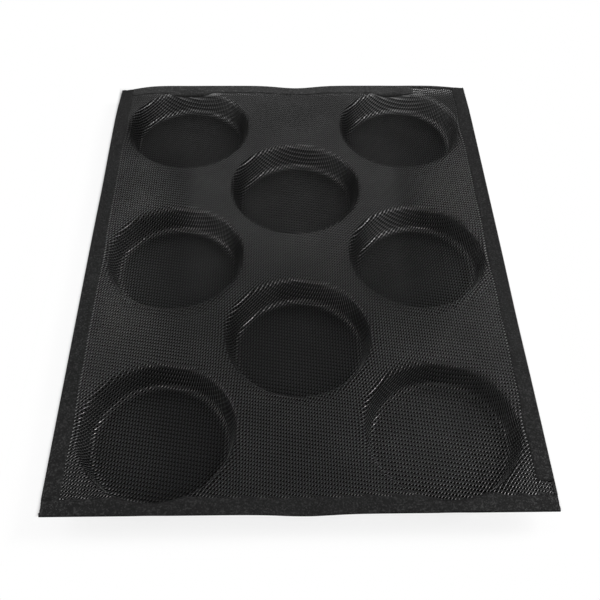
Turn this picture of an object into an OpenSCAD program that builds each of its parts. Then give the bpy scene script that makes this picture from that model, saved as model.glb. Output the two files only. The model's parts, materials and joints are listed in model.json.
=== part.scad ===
// Flexible hamburger bun pan: one open-weave mesh sheet, coated in black silicone and formed
// with round flat-floored cups, bound along its four edges with strips folded over the edge.
// The sheet lies in XY with its front edge at -Y, and the cup floors rest on Z = 0.

/* [Sheet] */
// Overall width, over the bindings
sheet_w = 300; // [290:1:340]
// Overall length from front to back, over the bindings
sheet_l = 400; // [390:1:460]
// Thickness of the coated mesh
wall_t = 1.0; // [0.8:0.1:1.4]

/* [Cups] */
// Distance between neighbouring columns of cups
column_pitch = 88; // [85:0.5:92]
// Distance between neighbouring rows of cups
row_pitch = 72; // [70:0.5:75]
// How far the cup pattern sits to the right of the middle of the sheet
pattern_shift = 0.5; // [0:0.1:1]
// Diameter of a cup's mouth, where its rim starts to turn down
mouth_d = 102; // [94:0.5:103]
// Depth of a cup, from the top of the sheet to its floor
cup_depth = 18; // [12:0.5:30]
// Slope of the cup's wall, in degrees from upright
wall_draft = 15; // [4:1:22]
// Radius of the rim, on the upper side
rim_radius = 3.5; // [2.5:0.1:5]
// Radius between the wall and the floor, on the upper side
floor_radius = 3.5; // [2:0.1:6]

/* [Weave] */
// Raised warp yarns between neighbouring columns of cups
yarns_per_column = 9; // [5:2:11]
// Raised weft yarns between neighbouring rows of cups
yarns_per_row = 5; // [3:2:7]
// Width of a raised yarn
yarn_w = 2.4; // [1:0.1:3]
// Height of a raised yarn
yarn_h = 0.4; // [0.1:0.05:0.5]
// Width of an open gap in the weave; its length follows from the hollow that it opens
gap_w = 7; // [1:0.1:7]
// Hollows from one open gap to the next, across and along
gap_step = 2; // [2:1:4]
// Hollows from the middle of a cup's floor to its outermost gaps
gap_reach = 3; // [1:1:4]
// Hoops of weft that show on the wall of a cup
wall_hoops = 3; // [0:1:4]

/* [Bindings] */
// Width of a binding, from the edge of the sheet
binding_w = 10; // [8:0.5:11]
// Thickness of one leaf of a binding
binding_t = 0.5; // [0.3:0.1:0.8]
// Bare mesh left between the end of the back binding and the right one
back_bare = 38; // [5:1:60]
// Bare mesh left between the end of the right binding and the front one
right_bare = 9; // [5:1:40]

/* [Hidden] */
$fn = 96;

// Colours of the coated mesh and of the binding strip
mesh_colour = "#2b2b2b";
binding_colour = "#1c1c1c";

// Heights of the flat web's faces, and half of its bare size inside the folds of the bindings
web_bottom = cup_depth;
web_top = web_bottom + wall_t;
half_w = sheet_w / 2 - binding_t;
half_l = sheet_l / 2 - binding_t;

// Cup radii: the mouth, and where the flat floor ends
mouth_r = mouth_d / 2;
corner_radii = rim_radius + floor_radius;
wall_drop = cup_depth - corner_radii * (1 - sin(wall_draft));
floor_flat_r = mouth_r - corner_radii * cos(wall_draft) - wall_drop * tan(wall_draft);

// Centres of the two rounded corners of a cup's section
rim_centre = [mouth_r, web_top - rim_radius];
floor_centre = [floor_flat_r, wall_t + floor_radius];

// Steps in each rounded stretch of that section
arc_steps = 6;

// Places of the cups: outer columns on the even rows, the middle column on the odd ones
outer_rows = [-2, 0, 2];
middle_rows = [-1, 1];
cup_places = concat(
    [for (c = [-1, 1], r = outer_rows) [pattern_shift + c * column_pitch, r * row_pitch]],
    [for (r = middle_rows) [pattern_shift, r * row_pitch]]
);

// Pitch of the raised yarns, and the cells between them to each side of the middle
yarn_pitch_x = column_pitch / yarns_per_column;
yarn_pitch_y = row_pitch / yarns_per_row;
cells_x = ceil(sheet_w / yarn_pitch_x / 2);
cells_y = ceil(sheet_l / yarn_pitch_y / 2);
floor_cells = ceil(mouth_r / min(yarn_pitch_x, yarn_pitch_y));
// Length of a gap, in proportion to the hollow between the yarns
gap_l = gap_w * (yarn_pitch_y - yarn_w) / (yarn_pitch_x - yarn_w);
// Half the width of a hoop, as a share of the pitch of the hoops
hoop_half = 0.3;
// Flat margin kept between the raised yarns and the start of a curve or a binding
yarn_margin = 0.8;

// Places of the weave's hollows that are open right through, wherever the sheet is flat
gap_places = [
    for (i = [-cells_x : cells_x], j = [-cells_y : cells_y])
        if (i % gap_step == 0 && j % gap_step == 0) [pattern_shift + i * yarn_pitch_x, j * yarn_pitch_y]
];

// Distance from the middle of a cup to the nearest point and to the farthest point of a gap
function gap_near(gap, cup) =
    norm([max(abs(gap.x - cup.x) - gap_w / 2, 0), max(abs(gap.y - cup.y) - gap_l / 2, 0)]);
function gap_far(gap, cup) = norm([abs(gap.x - cup.x) + gap_w / 2, abs(gap.y - cup.y) + gap_l / 2]);

// Whether a gap lies on the flat web, clear of the rims and of the bindings
function on_web(gap) =
    abs(gap.x) + gap_w / 2 + yarn_margin <= sheet_w / 2 - binding_w
    && abs(gap.y) + gap_l / 2 + yarn_margin <= sheet_l / 2 - binding_w
    && min([for (cup = cup_places) gap_near(gap, cup)]) >= mouth_r + yarn_margin;

// Whether a gap lies on the flat floor of a cup, within the reach of its gaps
function on_floor(gap, cup) =
    gap_far(gap, cup) <= floor_flat_r - yarn_margin
    && abs(gap.x - cup.x) < (gap_reach + 0.5) * yarn_pitch_x
    && abs(gap.y - cup.y) < (gap_reach + 0.5) * yarn_pitch_y;

// Points of an arc about a centre, from one angle to another
function arc(centre, r, from, to) = [
    for (i = [0 : arc_steps])
        let (a = from + (to - from) * i / arc_steps)
        centre + r * [cos(a), sin(a)]
];

// Point on the upper side of the wall's straight stretch, at a share of the way down it
function on_wall(share) =
    let (
        top = rim_centre + rim_radius * [-cos(wall_draft), sin(wall_draft)],
        bottom = floor_centre + floor_radius * [cos(wall_draft), -sin(wall_draft)]
    )
    top + share * (bottom - top);

// Points of the hoops that stand out of the wall, each a low ridge with sloping sides
function hoops() = [
    for (h = [1 : 1 : wall_hoops], side = [-1 : 1])
        on_wall((h + side * hoop_half) / (wall_hoops + 1))
            + (side == 0 ? yarn_h * [-cos(wall_draft), sin(wall_draft)] : [0, 0])
];

// Half section of a cup's formed wall, from the edge of its flat floor to its mouth
module wall_section() {
    polygon(concat(
        arc(floor_centre, floor_radius + wall_t, 270, 360 - wall_draft),
        arc(rim_centre, rim_radius - wall_t, 180 - wall_draft, 90),
        arc(rim_centre, rim_radius, 90, 180 - wall_draft),
        hoops(),
        arc(floor_centre, floor_radius, 360 - wall_draft, 270)
    ));
}

// Half section of a thin leaf that follows the rim, between two radii about the rim's centre
module rim_section(inner, outer) {
    polygon(concat(
        arc(rim_centre, inner, 180 - wall_draft, 90),
        arc(rim_centre, outer, 90, 180 - wall_draft)
    ));
}

// Copies its children to every cup
module at_cups() {
    for (p = cup_places) translate(p) children();
}

// Flat outline of the bare sheet, inside the folds of the bindings
module sheet_outline() {
    square([2 * half_w, 2 * half_l], center = true);
}

// Hollows between the raised yarns, in a block of cells about the middle
module weave_cells(count_x, count_y) {
    for (i = [-count_x : count_x], j = [-count_y : count_y])
        translate([i * yarn_pitch_x, j * yarn_pitch_y])
            square([yarn_pitch_x - yarn_w, yarn_pitch_y - yarn_w], center = true);
}

// The open gaps at a list of places
module gaps(places) {
    for (p = places) translate(p) square([gap_w, gap_l], center = true);
}

// The open gaps of the flat web
module web_gaps() {
    gaps([for (gap = gap_places) if (on_web(gap)) gap]);
}

// Raised yarns on the flat web, clear of the rims and of the bindings
module web_yarns() {
    difference() {
        sheet_outline();
        at_cups() circle(r = mouth_r + yarn_margin);
        left_footprint(yarn_margin);
        right_footprint(yarn_margin);
        front_footprint(yarn_margin);
        back_footprint(yarn_margin);
        translate([pattern_shift, 0]) weave_cells(cells_x, cells_y);
        web_gaps();
    }
}

// The open gaps in the floor of the cup at a place, seen from its middle
module floor_gaps(place) {
    gaps([for (gap = gap_places) if (on_floor(gap, place)) gap - place]);
}

// The cup at a place: the formed wall, the flat floor with its gaps, and the yarns on the floor
module cup(place) {
    rotate_extrude() wall_section();
    linear_extrude(wall_t) difference() {
        circle(r = floor_flat_r);
        floor_gaps(place);
    }
    translate([0, 0, wall_t]) linear_extrude(yarn_h) difference() {
        circle(r = floor_flat_r - yarn_margin);
        weave_cells(floor_cells, floor_cells);
        floor_gaps(place);
    }
}

// The coated mesh, formed with its cups
module mesh_sheet() {
    color(mesh_colour) union() {
        translate([0, 0, web_bottom]) linear_extrude(wall_t) difference() {
            sheet_outline();
            at_cups() circle(r = mouth_r);
            web_gaps();
        }
        translate([0, 0, web_top]) linear_extrude(yarn_h) web_yarns();
        for (p = cup_places) translate(p) cup(p);
    }
}

// Footprints of the four bindings, grown by a margin
module left_footprint(grow = 0) {
    translate([-sheet_w / 2 - grow, -sheet_l / 2 + binding_w - grow])
        square([binding_w + 2 * grow, sheet_l - binding_w + 2 * grow]);
}

module right_footprint(grow = 0) {
    translate([sheet_w / 2 - binding_w - grow, -sheet_l / 2 + binding_w + right_bare - grow])
        square([binding_w + 2 * grow, sheet_l - binding_w - right_bare + 2 * grow]);
}

module front_footprint(grow = 0) {
    translate([-sheet_w / 2 - grow, -sheet_l / 2 - grow])
        square([sheet_w + 2 * grow, binding_w + 2 * grow]);
}

module back_footprint(grow = 0) {
    translate([-sheet_w / 2 + binding_w - grow, sheet_l / 2 - binding_w - grow])
        square([sheet_w - 2 * binding_w - back_bare + 2 * grow, binding_w + 2 * grow]);
}

// A strip folded over the edge of the sheet, over the footprint given as its child
module folded_strip() {
    difference() {
        translate([0, 0, web_bottom - binding_t])
            linear_extrude(wall_t + 2 * binding_t)
            difference() {
                children();
                at_cups() circle(r = mouth_r);
            }
        translate([0, 0, web_bottom]) linear_extrude(wall_t) sheet_outline();
    }
}

// The stretches of such a strip that were formed with the rims, on both faces of the sheet
module formed_strip() {
    intersection() {
        linear_extrude(web_top + binding_t) children();
        at_cups() rotate_extrude() {
            rim_section(rim_radius, rim_radius + binding_t);
            rim_section(rim_radius - wall_t - binding_t, rim_radius - wall_t);
        }
    }
}

module binding_left() {
    color(binding_colour) folded_strip() left_footprint();
}

module binding_right() {
    color(binding_colour) folded_strip() right_footprint();
}

module binding_front() {
    color(binding_colour) union() {
        folded_strip() front_footprint();
        formed_strip() front_footprint();
    }
}

module binding_back() {
    color(binding_colour) union() {
        folded_strip() back_footprint();
        formed_strip() back_footprint();
    }
}

mesh_sheet();
binding_left();
binding_right();
binding_front();
binding_back();
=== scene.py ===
# %% [markdown]
# # A flexible bun pan of coated open mesh
# The pan is a glass-fibre weave, dipped in black silicone and pressed over round moulds, so that
# eight flat-floored cups hang from one sheet. Four strips are folded over its edges. The packed
# CAD part gives every overall size here: it is loaded first and never moved.

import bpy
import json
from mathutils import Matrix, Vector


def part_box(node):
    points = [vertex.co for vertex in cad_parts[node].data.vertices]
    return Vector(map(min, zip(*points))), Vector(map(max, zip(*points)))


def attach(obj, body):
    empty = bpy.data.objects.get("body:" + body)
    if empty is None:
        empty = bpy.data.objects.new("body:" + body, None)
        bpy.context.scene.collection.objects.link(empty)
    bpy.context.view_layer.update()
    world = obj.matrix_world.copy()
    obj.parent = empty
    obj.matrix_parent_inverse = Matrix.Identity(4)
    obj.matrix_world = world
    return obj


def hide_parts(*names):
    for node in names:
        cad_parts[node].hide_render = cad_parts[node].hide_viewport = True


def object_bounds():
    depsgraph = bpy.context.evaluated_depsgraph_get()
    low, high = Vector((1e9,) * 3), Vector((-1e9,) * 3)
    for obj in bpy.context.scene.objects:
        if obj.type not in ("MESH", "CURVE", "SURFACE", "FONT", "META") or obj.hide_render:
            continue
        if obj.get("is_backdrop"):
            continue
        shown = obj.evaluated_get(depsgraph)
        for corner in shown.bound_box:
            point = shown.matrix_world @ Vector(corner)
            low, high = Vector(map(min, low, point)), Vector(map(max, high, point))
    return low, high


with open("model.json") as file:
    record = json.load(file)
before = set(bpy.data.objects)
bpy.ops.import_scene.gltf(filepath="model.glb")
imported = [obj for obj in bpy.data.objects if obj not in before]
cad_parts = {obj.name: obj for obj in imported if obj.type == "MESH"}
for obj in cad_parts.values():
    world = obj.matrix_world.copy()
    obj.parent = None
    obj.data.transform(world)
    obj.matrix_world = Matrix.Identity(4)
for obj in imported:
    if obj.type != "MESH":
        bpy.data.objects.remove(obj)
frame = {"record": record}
cad_box = [list(corner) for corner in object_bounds()]
print("CAD box, metres:", cad_box)

# %% [markdown]
# ## Sizes
# Blender works in metres here, as the part does. The sheet's outline, the strips' widths and ends
# and the height of the web are read from the boxes of the CAD nodes, and the places of the cups
# from the record's openings. Only what a box can't say is written down: the sections.

# %% Sizes and places
import json

import bpy
import numpy as np
from mathutils import Vector

MM = 0.001
# Sections of the mesh, a strip's leaf and a cup, as the part's source has them
MESH_THICK = 1.0 * MM
LEAF_THICK = 0.5 * MM
MOUTH_RADIUS = 51.0 * MM
RIM_RADIUS = 3.5 * MM
FLOOR_RADIUS = 3.5 * MM
WALL_DRAFT = np.radians(15.0)

half_w, half_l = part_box("mesh_sheet")[1].xy
left_low, left_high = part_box("binding_left")
right_low, back_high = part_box("binding_right")[0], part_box("binding_back")[1]
strip_w = left_high.x - left_low.x
web_mid = left_high.z - LEAF_THICK - MESH_THICK / 2
cups = {
    opening["name"].replace("_square", ""): np.mean(opening["box_m"], axis=0)[:2]
    for opening in frame["record"]["physics"]["openings"]
    if opening["name"].endswith("_square")
}
print(f"sheet {2 * half_w / MM:.0f} x {2 * half_l / MM:.0f} mm, strips {strip_w / MM:.0f} mm")
print(f"{len(cups)} cups, web {web_mid / MM:.1f} mm up")

# %% [markdown]
# ## The camera
# The photograph looks down on the pan from its front edge. A camera whose angle and distance make
# the sheet's corners fall where the picture has them is all that is needed: no shift and no depth
# of field, so that the pan also looks right from any other side.

# %% Camera
CAMERA_PLACE = Vector((-8.73, -405.34, 464.29)) * MM
CAMERA_TURN = np.radians((39.208, -0.611, -0.936))
SENSOR_WIDTH, LENS = 36.0, 49.83
camera = bpy.data.objects.new("camera", bpy.data.cameras.new("camera"))
bpy.context.scene.collection.objects.link(camera)
bpy.context.scene.camera = camera
camera.data.sensor_width, camera.data.lens = SENSOR_WIDTH, LENS
camera.location, camera.rotation_euler = CAMERA_PLACE, CAMERA_TURN
print("camera at", [round(c, 3) for c in camera.location])

# %% [markdown]
# ## Shader arithmetic
# A finish is a small sum of patterns. Writing that sum as ordinary Python keeps it readable, so a
# Wire stands for one output of a node, and every operator on it adds the Math node that does it.

# %% Wires and nodes
class Wire:
    """One output of a node. Sums and products of wires add the Math nodes for them."""

    def __init__(self, finish, socket):
        self.finish, self.socket = finish, socket

    def math(self, operation, *values):
        """The Math node for an operation on values or wires, in their order."""
        return self.finish.node("ShaderNodeMath", {"operation": operation}, dict(enumerate(values)))

    def __add__(self, other):
        return self.math("ADD", self, other)

    def __sub__(self, other):
        return self.math("SUBTRACT", self, other)

    def __rsub__(self, other):
        return self.math("SUBTRACT", other, self)

    def __mul__(self, other):
        return self.math("MULTIPLY", self, other)

    __radd__, __rmul__ = __add__, __mul__

    def __abs__(self):
        return self.math("ABSOLUTE", self)

    def most(self, *others):
        """The greatest of this wire and the others."""
        greatest = self
        for other in others:
            greatest = self.math("MAXIMUM", greatest, other)
        return greatest

    def wave(self, pitch):
        """A sine of the wire that repeats at every pitch, from -1 to 1."""
        turns = self * (2 * np.pi / pitch)
        return self.math("SINE", turns)

    def rise(self, low, high):
        """0 below low and 1 above high, with a smooth rise between them."""
        return self.finish.node(
            "ShaderNodeMapRange",
            {"interpolation_type": "SMOOTHSTEP"},
            {"Value": self, "From Min": low, "From Max": high},
        )


class Finish:
    """A material or a world whose nodes are added one call at a time."""

    def __init__(self, owner):
        owner.use_nodes = True
        self.owner, self.tree = owner, owner.node_tree
        self.tree.nodes.clear()

    def node(self, kind, settings=None, sockets=None, output=0):
        """Adds a node: its settings first, then a value or wire for each input. Gives one output."""
        made = self.tree.nodes.new(kind)
        for key, value in (settings or {}).items():
            setattr(made, key, value)
        for key, value in (sockets or {}).items():
            if isinstance(value, Wire):
                self.tree.links.new(value.socket, made.inputs[key])
            else:
                made.inputs[key].default_value = value
        return Wire(self, made.outputs[output]) if made.outputs else None

    def place(self):
        """Object coordinates in metres: the point, and its x, y and z."""
        point = self.node("ShaderNodeTexCoord", output="Object")
        return point, *(
            self.node("ShaderNodeSeparateXYZ", sockets={0: point}, output=axis) for axis in "XYZ"
        )

    def noise(self, point, size, detail=2.0):
        """Smooth noise from 0 to 1 whose blotches are about size metres across."""
        return self.node(
            "ShaderNodeTexNoise", sockets={"Vector": point, "Scale": 1 / size, "Detail": detail}
        )

    def blend(self, share, first, second):
        """The colour that is a share of the way from the first to the second."""
        return self.node(
            "ShaderNodeMix",
            {"data_type": "RGBA"},
            {0: share, 6: (*first, 1.0), 7: (*second, 1.0)},
            output=2,
        )

    def seen(self):
        """1 for what the camera sees, straight on, mirrored or through glass, and 0 for light."""
        camera, mirror, glass = (
            self.node("ShaderNodeLightPath", output=f"Is {ray} Ray")
            for ray in ("Camera", "Glossy", "Transmission")
        )
        return camera.most(mirror, glass)

    def done(self, surface):
        """Makes a shader the surface of the material or world, and gives that."""
        kind = "World" if isinstance(self.owner, bpy.types.World) else "Material"
        self.node("ShaderNodeOutput" + kind, sockets={"Surface": surface})
        return self.owner


print("shader arithmetic ready")

# %% [markdown]
# ## The section of a cup
# Cut through its axis, a cup is a flat floor, a tight curve up, a steep wall, the rim's curve back
# and the flat sheet. One line along the middle of the mesh says it all, because the mesh is the
# same thickness throughout.
#
# Pressing also stretches. The floor hardly gives, since the mould's face holds it, while the wall
# takes nearly all of the stretch, and its weave opens. So each point of the section also gets the
# radius that it had on the flat sheet.

# %% Section and stretch
FLOOR_STRETCH, WEB_STRETCH = 1.12, 1.12
DRAW_REACH = 5.8 * MM
EASE = 3.0 * MM


def smooth(x, low, high):
    """0 below low, 1 above high, and 3t^2 - 2t^3 of the share t between them.

    With low above high it falls from 1 to 0 instead."""
    t = np.clip((x - low) / (high - low), 0, 1)
    return t * t * (3 - 2 * t)


def cup_section(steps=48):
    """Distance along a cup's section, with its radius and height: floor, arc, wall, arc, web.

    The arcs turn through 90 degrees less the draft, about centres a bend radius from the mesh."""
    turn = np.pi / 2 - WALL_DRAFT
    angles = np.linspace(0, turn, steps)
    bend_low, bend_high = FLOOR_RADIUS + MESH_THICK / 2, RIM_RADIUS - MESH_THICK / 2
    drop = web_mid - MESH_THICK / 2 - (bend_low + bend_high) * (1 - np.cos(turn))
    floor_edge = MOUTH_RADIUS - (bend_low + bend_high) * np.sin(turn) - drop * np.tan(WALL_DRAFT)
    radius = np.concatenate((
        np.linspace(0, floor_edge, steps, endpoint=False),
        floor_edge + bend_low * np.sin(angles),
        MOUTH_RADIUS - bend_high * np.sin(angles[::-1]),
        MOUTH_RADIUS + np.linspace(0, DRAW_REACH, steps)[1:],
    ))
    height = np.concatenate((
        np.full(steps, MESH_THICK / 2),
        MESH_THICK / 2 + bend_low * (1 - np.cos(angles)),
        web_mid - bend_high * (1 - np.cos(angles[::-1])),
        np.full(steps - 1, web_mid),
    ))
    along = np.concatenate(([0], np.cumsum(np.hypot(np.diff(radius), np.diff(height)))))
    fine = np.linspace(0, along[-1], 20 * steps)
    return fine, np.interp(fine, along, radius), np.interp(fine, along, height), floor_edge


def flat_radius(along, radius, floor_edge):
    """Radius on the flat sheet: 1 / stretch added up along the section.

    The wall's stretch is what makes the sum meet the true radius where the pull dies out."""
    mouth = along[np.searchsorted(radius, MOUTH_RADIUS)]
    wall = (smooth(along, floor_edge - EASE, floor_edge + EASE)
            * smooth(along, mouth + EASE, mouth - EASE))
    calm = np.where(along < mouth, 1 / FLOOR_STRETCH, 1 / WEB_STRETCH) * (1 - wall)
    step = np.gradient(along)
    wall_rate = (radius[-1] - np.sum(calm * step)) / np.sum(wall * step)
    print(f"the wall stretches {1 / wall_rate:.2f} times")
    summed = np.cumsum((calm + wall_rate * wall) * step)
    return summed * radius[-1] / summed[-1]


along, section_r, section_z, floor_edge = cup_section()
section_flat = flat_radius(along, section_r, floor_edge)
print(f"flat floor to {floor_edge / MM:.1f} mm, {along[-1] / MM:.1f} mm from axis to calm web")

# %% [markdown]
# ## How the sheet lies
# A silicone mesh isn't stiff. Between the cups, which brace it, its edges dip, and one far corner
# hangs. Each dip is a round hollow that dies out within its reach, so a few of them are enough, and
# the cups' floors stay on the table.

# %% The formed sheet as one function
DIPS = (  # place x, y, reach across and along, depth, in mm
    (-150, 200, 20, 26, 4.6), (150, 200, 20, 24, 2.4), (2, 205, 21, 22, 2.9),
    (3, -204, 20, 20, 2.8), (-150, 74, 9, 34, 1.0), (151, -60, 8, 40, 1.0),
)


def dipped(x, y):
    """Depth of the dips at a place: the sum of depth * exp(-(dx / reach)^2 - (dy / reach)^2)."""
    depth = np.zeros_like(x)
    for place_x, place_y, across, lengthways, deep in DIPS:
        aside = (x - place_x * MM) / (across * MM)
        ahead = (y - place_y * MM) / (lengthways * MM)
        depth += deep * MM * np.exp(-(aside ** 2 + ahead ** 2))
    return depth


def formed(u, v):
    """Where the point u, v of the flat sheet lies on the formed one's middle surface.

    Around each cup it moves along its own radius to where the section puts that flat radius."""
    x, y, z = u.copy(), v.copy(), np.full_like(u, web_mid)
    for cup_x, cup_y in cups.values():
        flat = np.hypot(u - cup_x, v - cup_y)
        near = flat < section_flat[-1]
        share = np.interp(flat[near], section_flat, section_r) / np.maximum(flat[near], 1e-9)
        x[near] = cup_x + (u[near] - cup_x) * share
        y[near] = cup_y + (v[near] - cup_y) * share
        z[near] = np.interp(flat[near], section_flat, section_z)
    return np.stack((x, y, z - dipped(x, y) * z / web_mid), axis=-1)


def formed_frame(u, v, reach=0.15 * MM):
    """Steps of the formed sheet per metre of u and of v, and its upward normal, by differences."""
    step_u = (formed(u + reach, v) - formed(u - reach, v)) / (2 * reach)
    step_v = (formed(u, v + reach) - formed(u, v - reach)) / (2 * reach)
    normal = np.cross(step_u, step_v)
    return step_u, step_v, normal / np.linalg.norm(normal, axis=-1, keepdims=True)


print("deepest dip, mm:", round(max(dip[-1] for dip in DIPS), 1))

# %% [markdown]
# ## The weave
# The mesh is open: light goes through it and its underside shows. A picture of a mesh on a plain
# sheet would give none of that, so every hole is cut. The weft runs across the sheet, a little
# askew, and the twisted warp climbs over it to the right, so each hole leans that way too.
#
# A cell is the patch between two wefts and two warps. It has the crossings and the middles of its
# yarns on its border, raised above and sunk below, and one hole of eight points at middle height.
# The yarns between get a lens-shaped section, and where the mesh is pulled, cell and hole stretch.
#
# The dip doesn't drain evenly. It stays thick in the middle, at the back, on the cups' level floors
# and along the edges, where the strips were bonded on. There it swells the yarns and levels the
# weave. It ran off at the front, along the sides and most of all near right, where single yarns
# stand out. One field over the flat sheet says how far it ran off. A second one says how brightly
# the level coat shows: painted shade on the cups' floors and their near and side walls, and painted
# light on their far walls, more on the right, near the brighter side lamp. So the holes and the
# finish follow one map.

# %% Where the dip ran off
# A ramp goes from 0 to 1 between two places, outwards or forwards from the sheet's middle
FRONT_RAMP, SIDE_RAMP, EDGE_RAMP = ((-20 * MM, 110 * MM), (75 * MM, 120 * MM), (100 * MM, 130 * MM))
LEFT_START, RIGHT_START, SIDE_FULL = -165 * MM, -200 * MM, -50 * MM
CORNER_ACROSS, CORNER_ALONG = (10 * MM, 60 * MM), (40 * MM, 120 * MM)
LAMP_SIDE = (40 * MM, 100 * MM)
# How much ran off: everywhere, and what each of the other places adds to that
RAN, RAN_FRONT, RAN_SIDE, RAN_CORNER, RAN_WALL, RAN_EDGE = 0.04, 0.36, 0.8, 0.5, 0.12, 0.35
FLOOR_KEEPS = 0.6
BONDED, BOND_EASE = 11 * MM, 0.8
# Crest that stands for a level coat, and what the zones of a cup add or take: painted shade on
# floors and on near and side walls, painted light on far walls
LEVEL_CREST, FLOOR_PAINTED_SHADE, FAR_WALL_PAINTED_LIGHT, SIDE_WALL_PAINTED_SHADE = 0.757, 0.018, 0.048, 0.014
# How much more painted light the far walls get on the right, towards the brighter side lamp
LAMP_SIDE_PAINTED_LIGHT = 0.5
FLOOR_EASE, RIM_EASE = 2 * MM, 1 * MM
CUP_MIDDLE = 1 * MM
ROUND_RIGHT, FAR_RAMP = 0.8, (0.2, 0.9)

floor_flat, mouth_flat = np.interp((floor_edge, MOUTH_RADIUS), section_r, section_flat)


def zones(flat):
    """How far flat points are a cup's floor, its wall, and its far wall: each 0 to 1.

    The far wall is where the way from the cup's middle leads to the back. On the right of the
    sheet it goes on round the right-hand side of a cup, which faces the brighter side lamp."""
    away = np.stack([flat - cup for cup in cups.values()])
    distances = np.linalg.norm(away, axis=-1)
    nearest = distances.argmin(axis=0)[None]
    from_cup = distances.min(axis=0)
    beside, behind = (
        np.take_along_axis(away[..., axis], nearest, axis=0)[0] / np.maximum(from_cup, CUP_MIDDLE)
        for axis in (0, 1)
    )
    behind = behind + ROUND_RIGHT * np.maximum(beside, 0) * smooth(flat[..., 0], *LAMP_SIDE)
    floor = 1 - smooth(from_cup, floor_flat - FLOOR_EASE, floor_flat + FLOOR_EASE)
    wall = (1 - floor) * (1 - smooth(from_cup, mouth_flat - RIM_EASE, mouth_flat))
    return floor, wall, wall * smooth(behind, *FAR_RAMP)


def drained(flat):
    """How far the dip ran off at flat points: 0 where it stayed thick and 1 where it ran off.

    A share for each place, times its ramp, added up to 1 at most. Close to the side edges even
    the yarns ran thin, and the value passes 1. A floor keeps FLOOR_KEEPS of that, except near
    right, and under a strip all of it is kept."""
    u, v = flat[..., 0], flat[..., 1]
    floor, wall, _ = zones(flat)
    outward, forward = np.abs(u), -v
    front = smooth(forward, *FRONT_RAMP)
    side_start = np.where(u > 0, RIGHT_START, LEFT_START)
    sides = smooth(outward, *SIDE_RAMP) * smooth(forward, side_start, SIDE_FULL)
    corner = smooth(u, *CORNER_ACROSS) * smooth(forward, *CORNER_ALONG)
    thin = RAN + RAN_FRONT * front + RAN_SIDE * sides + RAN_CORNER * corner + RAN_WALL * wall
    thin = np.clip(thin, 0, 1) + RAN_EDGE * sides * smooth(outward, *EDGE_RAMP)
    from_side = np.where((u > 0) & (v < right_low.y), BONDED, half_w - outward)
    from_end = np.where((v > 0) & (u > back_high.x), BONDED, half_l - np.abs(v))
    free = smooth(np.minimum(from_side, from_end), BOND_EASE * BONDED, BONDED)
    return thin * (1 - FLOOR_KEEPS * floor * (1 - corner)) * free


def level_with_painted_light(flat):
    """Crest that stands for a level coat, with painted shade on floors and on the cups' other walls
    and painted light on their far walls, more on the right, near the brighter side lamp.
    """
    floor, wall, far_wall = zones(flat)
    painted_light = far_wall * (1 + LAMP_SIDE_PAINTED_LIGHT * smooth(flat[..., 0], *LAMP_SIDE))
    return LEVEL_CREST - FLOOR_PAINTED_SHADE * floor + FAR_WALL_PAINTED_LIGHT * painted_light - SIDE_WALL_PAINTED_SHADE * (wall - far_wall)


ran_middle, ran_corner = drained(np.array([(0.0, 0.0), (88 * MM, -144 * MM)]))
print(f"ran off: {ran_middle:.0%} in the middle and {ran_corner:.0%} near right")

# %% Lattice of the weave
PITCH_ACROSS, PITCH_ALONG = 1.76 * MM, 2.47 * MM
WANDER_ACROSS, WANDER_ALONG = 0.03 * MM, 0.04 * MM
WEFT_SKEW = -0.17
SMALLEST_CELL = 0.3
chance = np.random.default_rng(5)


def wandering(half, pitch, spread):
    """Places of the yarns across the sheet: even steps, each off by a small random amount."""
    lines = np.linspace(-half, half, round(2 * half / pitch) + 1)
    lines[1:-1] += chance.normal(0, spread, len(lines) - 2)
    return lines


def between(first, second):
    """Points half way between two arrays of points."""
    return (first + second) / 2


half_rows = half_l + abs(WEFT_SKEW) * half_w + PITCH_ALONG
places_u = wandering(half_w, PITCH_ACROSS, WANDER_ACROSS)
places_v = wandering(half_rows, PITCH_ALONG, WANDER_ALONG)
crossings = np.stack(np.meshgrid(places_u, places_v, indexing="ij"), axis=-1)
crossings[..., 1] = np.clip(crossings[..., 1] + WEFT_SKEW * crossings[..., 0], -half_l, half_l)
weft_mids = between(crossings[:-1], crossings[1:])
warp_mids = between(crossings[:-1, :-1], crossings[1:, 1:])
centres = between(warp_mids[:-1], warp_mids[1:])
cell_height = weft_mids[1:, 1:, 1] - weft_mids[:-1, :-1, 1] - WEFT_SKEW * PITCH_ACROSS
inside = cell_height > SMALLEST_CELL * PITCH_ALONG
print(f"{inside.sum()} cells, pitch {PITCH_ACROSS / MM:.2f} x {PITCH_ALONG / MM:.2f} mm")

# %% Holes
WARP_WIDTH, WEFT_WIDTH = 0.78 * MM, 1.0 * MM
SWELL = 0.65
HOLE_SPREAD = 0.025
HOLE_RING = np.array([
    (-0.8, -0.8), (0, -1), (0.8, -0.8), (1, 0), (0.8, 0.8), (0, 1), (-0.8, 0.8), (-1, 0)])
RING_FILL = 0.8  # area of that ring over the square round it


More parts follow.
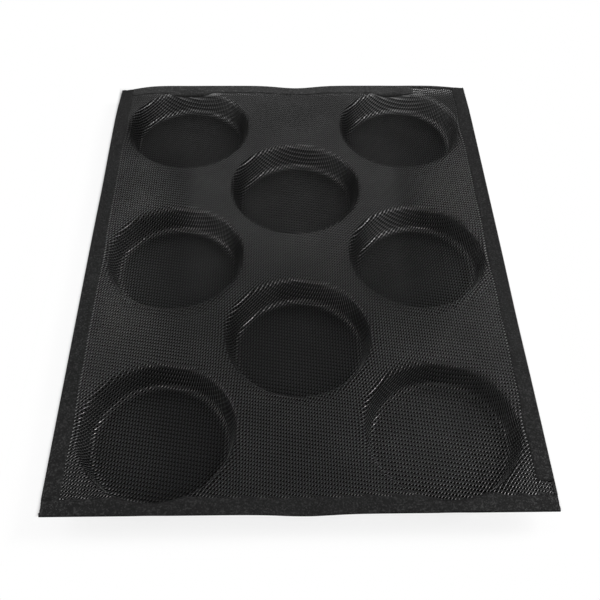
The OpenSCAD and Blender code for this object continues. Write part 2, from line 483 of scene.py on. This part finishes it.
def hole_points():
    """Eight flat points round each cell's middle, as shares of the cell's two sides.

    A share is the pitch less a yarn's width, over the pitch, give or take a random amount. The
    width grows by SWELL where the dip stayed."""
    swollen = 1 + SWELL * (1 - drained(centres)[..., None])
    widths = np.array((WARP_WIDTH / PITCH_ACROSS, WEFT_WIDTH / PITCH_ALONG)) * swollen
    near_left, near_right = crossings[:-2, :-1], crossings[1:-1, :-1]
    far_left, far_right = crossings[1:-1, 1:], crossings[2:, 1:]
    weft_side = between(near_right - near_left, far_right - far_left)
    warp_side = between(far_left - near_left, far_right - near_right)
    shares = chance.normal(1 - widths, HOLE_SPREAD)
    sides = np.stack((weft_side, warp_side), axis=-2) * shares[..., None] / 2
    return (centres[:, :, None, :] + HOLE_RING @ sides,
            RING_FILL * np.mean(shares.prod(axis=-1)[inside]))


holes, open_share = hole_points()
print(f"{open_share:.0%} of the mesh is open")

# %% [markdown]
# ## From cells to a mesh
# All points of the weave go into one long array, and a cell is a row of places in it: the eight
# points of its border above, the same eight below, and its hole. Sixteen four-sided faces join
# them. Whole arrays of such rows are made at once, with no loop over the points.

# %% Points, normals and faces of the whole weave
CROSSING_RISE, WARP_RISE, WEFT_RISE = 0.50 * MM, 0.43 * MM, 0.10 * MM


def numbered(shape, first):
    """Array of the places that a grid of points takes in the long array, from first on."""
    return first + np.arange(np.prod(shape)).reshape(shape)


def lifted(flat, rise):
    """Points on the upper and the lower side of the sheet, rise from its middle, with normals."""
    u, v = flat[..., 0].ravel(), flat[..., 1].ravel()
    middle, normal = formed(u, v), formed_frame(u, v)[2]
    return [(middle + side * rise * normal, side * normal) for side in (1, -1)]


ridge_grids = crossings, weft_mids, warp_mids
ridge_rises = CROSSING_RISE, WEFT_RISE, WARP_RISE
ridges = [lifted(grid, rise) for grid, rise in zip(ridge_grids, ridge_rises)]
hole_places = formed(holes[..., 0].ravel(), holes[..., 1].ravel())
hole_middles = np.repeat(formed(centres[..., 0].ravel(), centres[..., 1].ravel()), 8, axis=0)
hole_normals = hole_middles - hole_places
hole_normals /= np.linalg.norm(hole_normals, axis=1, keepdims=True) + 1e-12

points = np.concatenate([ridge[side][0] for side in (0, 1) for ridge in ridges] + [hole_places])
normals = np.concatenate([ridge[side][1] for side in (0, 1) for ridge in ridges] + [hole_normals])
ridge_flat = np.concatenate([grid.reshape(-1, 2) for grid in ridge_grids])
flat_points = np.concatenate((ridge_flat, ridge_flat, holes.reshape(-1, 2)))
ridge_crest = np.repeat(
    [rise / CROSSING_RISE for rise in ridge_rises], [grid.size // 2 for grid in ridge_grids])
crest = np.concatenate((ridge_crest, ridge_crest, np.zeros(len(hole_places))))
# Where the dip stayed, the crest is the level one with its painted light and shade; where it ran
# off, the crest follows the yarns
crest_level_with_painted_light = level_with_painted_light(flat_points)
crest = crest_level_with_painted_light + (crest - crest_level_with_painted_light) * drained(flat_points)


def borders(first):
    """The eight places round each cell, anticlockwise from its near left crossing.

    The warp climbs one place to the right with every weft, so the far side is shifted by one."""
    at = numbered(crossings.shape[:2], first)
    on_weft = numbered(weft_mids.shape[:2], at[-1, -1] + 1)
    on_warp = numbered(warp_mids.shape[:2], on_weft[-1, -1] + 1)
    ring = (at[:-2, :-1], on_weft[:-1, :-1], at[1:-1, :-1], on_warp[1:],
            at[2:, 1:], on_weft[1:, 1:], at[1:-1, 1:], on_warp[:-1])
    return np.stack(ring, axis=-1)


above, below = borders(0), borders(len(ridge_flat))
hole = numbered(holes.shape[:3], 2 * len(ridge_flat))
turned = {name: np.roll(ring, -1, axis=-1) for name, ring in
          {"above": above, "below": below, "hole": hole}.items()}
upper_faces = np.stack((above, turned["above"], turned["hole"], hole), axis=-1)
lower_faces = np.stack((turned["below"], below, hole, turned["hole"]), axis=-1)
wall_faces = np.stack((above, below, turned["below"], turned["above"]), axis=-1)
print(f"{len(points)} points, {upper_faces[inside].size // 2} faces")

# %% [markdown]
# ## Pieces
# One mesh this fine would be thinned when it is written out, so it is parted along yarns into each
# cup and three panels of web. A piece is closed where it ends by a thin wall inside the yarn, and
# keeps the whole weave's normals, so no seam shows.

# %% Mesh pieces
MAP_SHIFT = 1.05  # the lower side's place on the map, beside the upper one


def solid(name, places, faces, face_flat=None, point_normals=None, point_crest=None):
    """A smooth mesh object from arrays of points and four-sided faces, with a UV map.

    Where the weave stands free, a point's crest is 1 on a crossing and 0 in a hole."""
    mesh = bpy.data.meshes.new(name)
    mesh.vertices.add(len(places))
    mesh.vertices.foreach_set("co", np.ascontiguousarray(places, np.float32).ravel())
    mesh.loops.add(faces.size)
    mesh.loops.foreach_set("vertex_index", np.ascontiguousarray(faces, np.int32).ravel())
    mesh.polygons.add(len(faces))
    mesh.polygons.foreach_set("loop_start", np.arange(0, faces.size, 4, dtype=np.int32))
    mesh.update(calc_edges=True)
    mesh.shade_smooth()
    if face_flat is not None:
        spread = (face_flat - face_flat.min((0, 1))) / np.ptp(face_flat, axis=(0, 1))
        mesh.uv_layers.new(name="OFBake").data.foreach_set("uv", spread.astype(np.float32).ravel())
    if point_normals is not None:
        mesh.normals_split_custom_set_from_vertices(point_normals.tolist())
        crests = mesh.attributes.new("crest", "FLOAT", "POINT")
        crests.data.foreach_set("value", point_crest.astype(np.float32))
    made = bpy.data.objects.new(name, mesh)
    bpy.context.scene.collection.objects.link(made)
    return made


owner = np.digitize(centres[..., 0], (-MOUTH_RADIUS, MOUTH_RADIUS))
piece_names = ["web_left", "web_middle", "web_right", *cups]
for number, (cup_x, cup_y) in enumerate(cups.values(), start=3):
    owner[np.hypot(centres[..., 0] - cup_x, centres[..., 1] - cup_y) < mouth_flat] = number

owner[~inside] = -1
fenced = np.pad(owner, 1, constant_values=-1)
beyond = [fenced[:-2, :-2], fenced[2:, 1:-1], fenced[2:, 2:], fenced[:-2, 1:-1]]
edge_of_piece = np.repeat(np.stack(beyond, axis=-1) != owner[..., None], 2, axis=-1)
mesh_pieces = []
for number, name in enumerate(piece_names):
    mine = owner == number
    tops, bottoms = upper_faces[mine].reshape(-1, 4), lower_faces[mine].reshape(-1, 4)
    walls = wall_faces[mine][edge_of_piece[mine]]
    faces = np.concatenate((tops, bottoms, walls))
    face_flat = flat_points[faces]
    face_flat[len(tops):, :, 0] += MAP_SHIFT * np.ptp(face_flat[..., 0])
    kept, faces = np.unique(faces, return_inverse=True)
    faces = faces.reshape(-1, 4)
    mesh_pieces.append(solid(name, points[kept], faces, face_flat, normals[kept], crest[kept]))
    print(f"{name}: {2 * len(faces)} triangles")

# %% [markdown]
# ## The bindings
# Each edge is held in a strip that is folded over it and pressed into the mesh, and where a cup
# comes close the strip was pressed down with the rim. So a strip is a folded section carried along
# the edge of the flat sheet, and then formed by the same function as the mesh.

# %% Folded strips
ACROSS = np.array([1, 0.985, 0.95, 0.88, 0.78, 0.66, 0.54, 0.42, 0.3, 0.19, 0.1, 0.03])
LIP, LIP_LEFT = 0.06, 0.35
OUT = MESH_THICK / 2 + LEAF_THICK
RIPPLE_RATES, RIPPLE_PHASES = (4, 70), (0, 6.3)
EDGE_WANDER, RAG = 0.35 * MM, 0.35 * MM
RAG_ACROSS, RAG_ALONG, RAG_POWER = 9, 50, 20
MAP_GIRTH = 6  # a strip's way round its section, in widths, on its map


def folded_section(fold_steps=7):
    """Share of the width from the fold and height off the middle, outside and then inside.

    The outside leaf thins to LIP_LEFT over its last LIP of width; the fold is half an ellipse."""
    swing = np.linspace(np.pi / 2, -np.pi / 2, fold_steps + 2)[1:-1]
    leaf = LIP_LEFT + (1 - LIP_LEFT) * smooth(1 - ACROSS, 0, LIP)
    thin = MESH_THICK / 2 + LEAF_THICK * leaf
    share = np.concatenate((ACROSS, np.zeros(fold_steps), ACROSS[::-1]))
    past_edge = np.concatenate((ACROSS * 0, LEAF_THICK * np.cos(swing), ACROSS * 0))
    outside = np.concatenate((thin, OUT * np.sin(swing), -thin[::-1]))
    inside = np.clip(outside, -MESH_THICK / 2, MESH_THICK / 2)
    return share, past_edge, outside, inside


def ripple(t, seed, waves=9):
    """Gentle wander along a strip, from -1 to 1: a sum of sines with random phases."""
    own = np.random.default_rng(seed)
    parts = [np.sin(t * own.uniform(*RIPPLE_RATES) + own.uniform(*RIPPLE_PHASES))
             for _ in range(waves)]
    return np.sum(parts, axis=0) / np.sqrt(2 * waves)


def strip(name, start, end, inward, widths, seed, rows=170, ends=(0.0, 0.0)):
    """A folded strip from start to end along an edge, widths wide, with inward towards the middle.

    A point is start + t * (end - start) + inward * (share * width - past the edge), formed and
    moved off along the normal. ends skews the cuts at its two ends by that much of the width, and
    a ripple times |2t - 1| ^ RAG_POWER makes them ragged."""
    share, past_edge, outside, inside = folded_section()
    t = np.linspace(0, 1, rows)[:, None]
    length = np.linalg.norm(np.subtract(end, start))
    width = np.asarray(widths(t * length)) + EDGE_WANDER * ripple(t, seed)
    skew = (ends[0] * (1 - t) + ends[1] * t) * share * strip_w / length
    frayed = ripple(share * RAG_ACROSS + t * RAG_ALONG, seed + 1)
    place = t + skew + RAG / length * frayed * np.abs(2 * t - 1) ** RAG_POWER
    inset = share * width - past_edge
    u = start[0] + place * (end[0] - start[0]) + inward[0] * inset
    v = start[1] + place * (end[1] - start[1]) + inward[1] * inset
    middle, normal = formed(u.ravel(), v.ravel()), formed_frame(u.ravel(), v.ravel())[2]
    shells = [middle + normal * np.tile(height, rows)[:, None] for height in (outside, inside)]
    loop = len(share)
    places = np.concatenate(shells)
    outer, inner = numbered((rows, loop), 0), numbered((rows, loop), rows * loop)
    ring = np.concatenate((outer, inner[:, ::-1]), axis=1)
    ahead = np.roll(ring, -1, axis=1)
    sides = np.stack((ring[:-1], ring[1:], ahead[1:], ahead[:-1]), axis=-1).reshape(-1, 4)
    caps = [np.stack((o[:-1], o[1:], i[1:], i[:-1]), axis=-1) for o, i in
            ((outer[0], inner[0]), (outer[-1, ::-1], inner[-1, ::-1]))]
    faces = np.concatenate((sides, *caps))
    if inward[0] * (end[1] - start[1]) - inward[1] * (end[0] - start[0]) > 0:
        faces = faces[:, ::-1]
    turn = np.linspace(0, 1, 2 * loop)
    round_it = turn * MAP_GIRTH * strip_w
    unrolled = np.stack(np.broadcast_arrays(t * length, round_it), axis=-1).reshape(-1, 2)
    order = np.argsort(ring.ravel())
    made = solid(name, places, faces, unrolled[order][faces])
    print(f"{name}: {2 * len(faces)} triangles")
    return made


# %% [markdown]
# ## Four strips and two hems
# The back strip narrows beside the back cups, where it was drawn down over their rims. Its right
# end and the right strip's near end stop short, so that the bare mesh reaches the edge there. Its
# cut yarns are sealed by a narrow hem of silicone, which the same folded section makes.

# %% The strips and hems
HEM = 1.7 * MM
TRIM, PINCH, PINCH_REACH = 0.8 * MM, 1.2 * MM, 30 * MM
BACK_ROW = 100 * MM


def steady(width):
    """The same width all along."""
    return lambda distance: width + 0 * distance


def back_width(distance):
    """The strip's width less TRIM, and less a bell of PINCH beside each cup of the back row."""
    x = distance - half_w
    pinched = sum(np.exp(-(((x - cup_x) / PINCH_REACH) ** 2))
                  for cup_x, cup_y in cups.values() if cup_y > BACK_ROW)
    return strip_w - TRIM - PINCH * pinched


bindings = [
    strip("strip_back", (-half_w + strip_w, half_l), (back_high.x, half_l), (0, -1),
          back_width, seed=11, ends=(0, 0.3)),
    strip("strip_left", (-half_w, left_low.y), (-half_w, half_l), (1, 0),
          steady(strip_w), seed=12, rows=200),
    strip("strip_right", (half_w, right_low.y), (half_w, half_l), (-1, 0),
          steady(strip_w), seed=13, rows=200, ends=(0.05, 0)),
    strip("strip_front", (-half_w, -half_l), (half_w, -half_l), (0, 1),
          steady(strip_w), seed=14),
]
hems = [
    strip("hem_right", (half_w, -half_l + strip_w), (half_w, right_low.y), (-1, 0),
          steady(HEM), seed=15, rows=12),
    strip("hem_back", (back_high.x, half_l), (half_w - strip_w, half_l), (0, -1),
          steady(HEM), seed=16, rows=40),
]

# %% [markdown]
# ## Finishes
# Cured silicone on cloth is nearly black, with a soft gloss: most of what is seen of it is the light
# that it mirrors. It is never even. It has a fine pebble from the dip. On the weave a light grey is
# painted on what stands out, a painted highlight, so gloss and painted highlight follow the crests,
# and the sides of the yarns stay black. A picture of the weave would do the same from one distance
# only. The strips carry such a coat on tight cloth, so the mesh under them only prints through, and
# the back one is lighter and glossier, as painted light from behind.

# %% Silicone
BLOTCH, STREAK, SPECK, PEBBLE = 28 * MM, 3.2 * MM, 1.0 * MM, 0.55 * MM
PEBBLE_RISE, STREAK_RISE, IMPRINT = 0.05 * MM, 0.04 * MM, 0.05 * MM
BLOTCH_RAMP, SPECK_RAMP, CREST_RAMP = (0.35, 0.75), (0.46, 0.72), (0.7, 1.0)
BASE_ROUGHNESS, BASE_SHEEN, COAT_IOR = 0.7, 0.02, 2.3


def silicone(name, dark, bloom_and_painted_highlight, gloss, shine, woven):
    """Black silicone: a dark grey with a lighter grey in blotches, under a coat with a pebble.

    gloss is the coat's roughness and shine its weight. On the weave, the lighter grey and the coat
    show on the crests alone, so the grey there is a painted highlight. On a strip they gather in
    specks, and the weave prints through from below: the product of a sine across and one along, at
    the pitches of the yarns."""
    finish = Finish(bpy.data.materials.new(name))
    point, x, y, _ = finish.place()
    blotch = finish.noise(point, BLOTCH, detail=4.0).rise(*BLOTCH_RAMP)
    pebble = finish.noise(point, PEBBLE)
    streak = finish.noise(point, STREAK, detail=3.0)
    mottle_and_highlight = blotch * 0.3 + streak * 0.2 + 0.5
    height = pebble * PEBBLE_RISE + streak * STREAK_RISE
    if woven:
        crest = finish.node("ShaderNodeAttribute", {"attribute_name": "crest"}, output="Fac")
        crest = crest.rise(*CREST_RAMP)
        # On the weave the lighter grey is kept to the crests: a painted highlight
        mottle_and_highlight = mottle_and_highlight * crest
        shine = crest * shine
    else:
        height = height + x.wave(PITCH_ACROSS) * y.wave(PITCH_ALONG) * IMPRINT
        speck = finish.noise(point, SPECK, detail=3.0).rise(*SPECK_RAMP)
        mottle_and_highlight = mottle_and_highlight * 0.6 + speck * speck
        shine = (speck * 1.4 + streak * 0.8) * shine
    bump = finish.node(
        "ShaderNodeBump", sockets={"Strength": 1.0, "Distance": 1.0, "Height": height})
    coat = finish.node("ShaderNodeBsdfPrincipled", sockets={
        "Base Color": finish.blend(mottle_and_highlight, (dark,) * 3, (bloom_and_painted_highlight,) * 3),
        "Roughness": BASE_ROUGHNESS, "Specular IOR Level": BASE_SHEEN,
        "Coat Weight": shine, "Coat Roughness": gloss, "Coat IOR": COAT_IOR, "Normal": bump})
    return finish.done(coat)


# On the mesh the light grey on the crests is a painted highlight; the dark grey is its own colour
mesh_coat = silicone("mesh_coat", dark=0.002, bloom_and_painted_highlight=0.32, gloss=0.22, shine=1.0, woven=True)
strip_coat = silicone("strip_coat", dark=0.003, bloom_and_painted_highlight=0.012, gloss=0.5, shine=0.055, woven=False)
# The back strip and back hem get a lighter, glossier copy of the strip coat: painted light from
# behind
back_coat = silicone("back_coat", dark=0.004, bloom_and_painted_highlight=0.035, gloss=0.5, shine=0.08, woven=False)

# %% Finish, body and node of each piece
for piece in mesh_pieces + hems + bindings:
    coat = back_coat if piece.name.endswith("back") else strip_coat
    piece.data.materials.append(mesh_coat if piece in mesh_pieces else coat)
    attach(piece, "root")
    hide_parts(piece.name.replace("strip", "binding") if piece in bindings else "mesh_sheet")
print(len(mesh_pieces), "pieces of mesh,", len(hems), "hems and", len(bindings), "strips")

# %% [markdown]
# ## Floor and light
# The pan stands on a white table. Under it and a little behind it the table's colour is painted
# dark, a painted shade, so that no white shows through the holes, and this painted shade fades out
# at its edges. Beside the pan the table is plain and keeps the shadow. Further out, what the camera
# sees of it turns to white, which lights nothing.
#
# Soft light comes from the whole room. A wide lamp behind and one in front light the web and the
# walls, and a lower one at each side draws the bright dots along the yarns, over the painted
# highlight on their crests.

# %% Table
FLOOR_SIZE = 6.0
TABLE_GAP = 0.2 * MM
# The second colour is painted shade, given to the table under the pan and a little past it
TABLE_WHITE, TABLE_PAINTED_SHADE = (0.86, 0.86, 0.86, 1.0), (0.03, 0.03, 0.03, 1.0)
# How far past the pan's back and sides the painted shade reaches, how far short of its front edge it
# stops, and over what widths it fades out
SHADE_BEHIND, SHADE_BESIDE, SHADE_SHORT = 10 * MM, 4 * MM, 10 * MM
FADE_BEHIND, FADE_BESIDE, FADE_FRONT = 18 * MM, 5 * MM, 2 * MM
NEAR_WHITE, PLAIN_REACH = 0.75, 30 * MM
side = FLOOR_SIZE / 2
corners = np.array([(-side, -side, 0), (side, -side, 0), (side, side, 0), (-side, side, 0)])
table = solid("table", corners - (0, 0, TABLE_GAP), np.array([[0, 1, 2, 3]]))
finish = Finish(bpy.data.materials.new("table_white"))
_, x, y, _ = finish.place()
over_x = abs(x) - half_w - SHADE_BESIDE
behind, before = y - half_l - SHADE_BEHIND, SHADE_SHORT - half_l - y
outside = over_x.most(behind, before)
open_x, open_back, open_front = (
    over * (1 / fade)
    for over, fade in ((over_x, FADE_BESIDE), (behind, FADE_BEHIND), (before, FADE_FRONT))
)
# lit is 0 in the painted shade and 1 where it has faded out; the dark diffuse below is that painted
# shade
lit = open_x.most(open_back, open_front).rise(0.0, 1.0)
painted_shade, bare = (
    finish.node("ShaderNodeBsdfDiffuse", sockets={"Color": colour})
    for colour in (TABLE_PAINTED_SHADE, TABLE_WHITE)
)
plain = finish.node("ShaderNodeMixShader", sockets={0: lit, 1: painted_shade, 2: bare})
white = finish.node("ShaderNodeEmission", sockets={"Strength": 1.0})
share = outside.rise(0.0, PLAIN_REACH) * (1 - NEAR_WHITE) + lit * NEAR_WHITE
table.data.materials.append(finish.done(
    finish.node("ShaderNodeMixShader", sockets={0: share * finish.seen(), 1: plain, 2: white})))
table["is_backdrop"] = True
print("table ready")

# %% Lamps and room
ROOM_LIGHT, ROOM_SEEN = 0.3, 1.0


def lamp(name, size, place, power):
    """A rectangular lamp, its size and place in metres and its power in watts, aimed at the pan."""
    data = bpy.data.lights.new(name, "AREA")
    data.shape, data.size, data.size_y, data.energy = "RECTANGLE", *size, power
    made = bpy.data.objects.new(name, data)
    made.location = place
    made.rotation_euler = (-Vector(place)).to_track_quat("-Z", "Y").to_euler()
    bpy.context.scene.collection.objects.link(made)
    return made


lamps = [
    lamp("lamp_behind", (1.6, 0.8), (0.0, 1.15, 1.0), 6.0),
    lamp("lamp_left", (0.3, 0.6), (-0.75, 0.1, 0.62), 3.8),
    lamp("lamp_right", (0.3, 0.6), (0.75, 0.1, 0.62), 8.0),
    lamp("lamp_front", (1.0, 0.5), (0.0, -1.5, 1.35), 14.0),
]
finish = Finish(bpy.data.worlds.new("room"))
dim, bright = (
    finish.node("ShaderNodeBackground", sockets={"Color": (1, 1, 1, 1), "Strength": strength})
    for strength in (ROOM_LIGHT, ROOM_SEEN)
)
bpy.context.scene.world = finish.done(
    finish.node("ShaderNodeMixShader", sockets={0: finish.seen(), 1: dim, 2: bright}))
bpy.context.scene.view_settings.view_transform = "Standard"
print(len(lamps), "lamps")

# %% [markdown]
# ## Sizes at the end
# The box of the pieces is printed beside the CAD box, to show whether the looks changed the part's
# size.

# %% Compare and finish
seen_box = [list(corner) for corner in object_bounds()]
for axis, name in enumerate("xyz"):
    cad, seen_size = (box[1][axis] - box[0][axis] for box in (cad_box, seen_box))
    print(f"{name}: CAD {cad / MM:.1f} mm, seen {seen_size / MM:.1f} mm")
